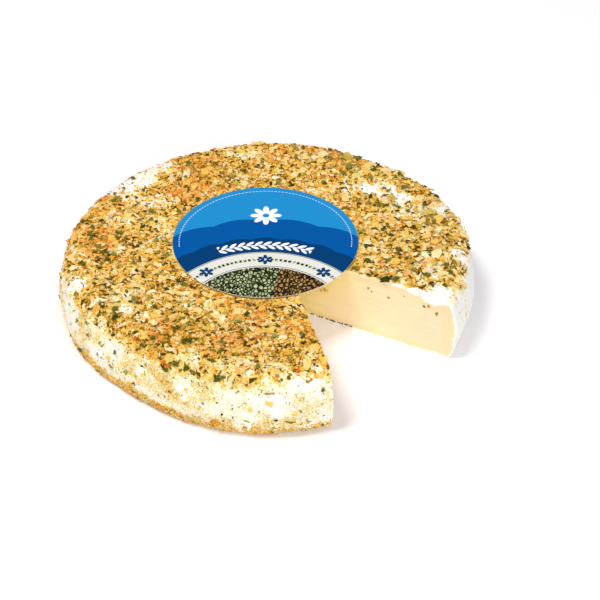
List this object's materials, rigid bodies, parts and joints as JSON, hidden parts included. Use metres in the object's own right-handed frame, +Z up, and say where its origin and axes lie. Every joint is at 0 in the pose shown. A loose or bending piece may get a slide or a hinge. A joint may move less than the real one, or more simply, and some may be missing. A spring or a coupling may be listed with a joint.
{
  "type": "brie cheese wheel",
  "caption": "Round of soft white-rind cheese in a coat of herbs and spices, one wedge cut out, with a round paper label lying on top.",
  "frame": {"origin": "middle of the base, near the tip of the cut, on the surface the wheel stands on", "axes": "+Z up, the wheel's axis; the cut opens towards +X and -Y; +Y is the top of the label's print"},
  "size_m": [0.2249, 0.2224, 0.0394],
  "materials": {
    "rind_and_paste": "matt white bloomy rind with cream paste at the cut",
    "label_paper": "smooth printed paper, satin"
  },
  "bodies": {
    "root": {"cheese_wheel": "rind_and_paste", "label": "label_paper"}
  },
  "joints": []
}
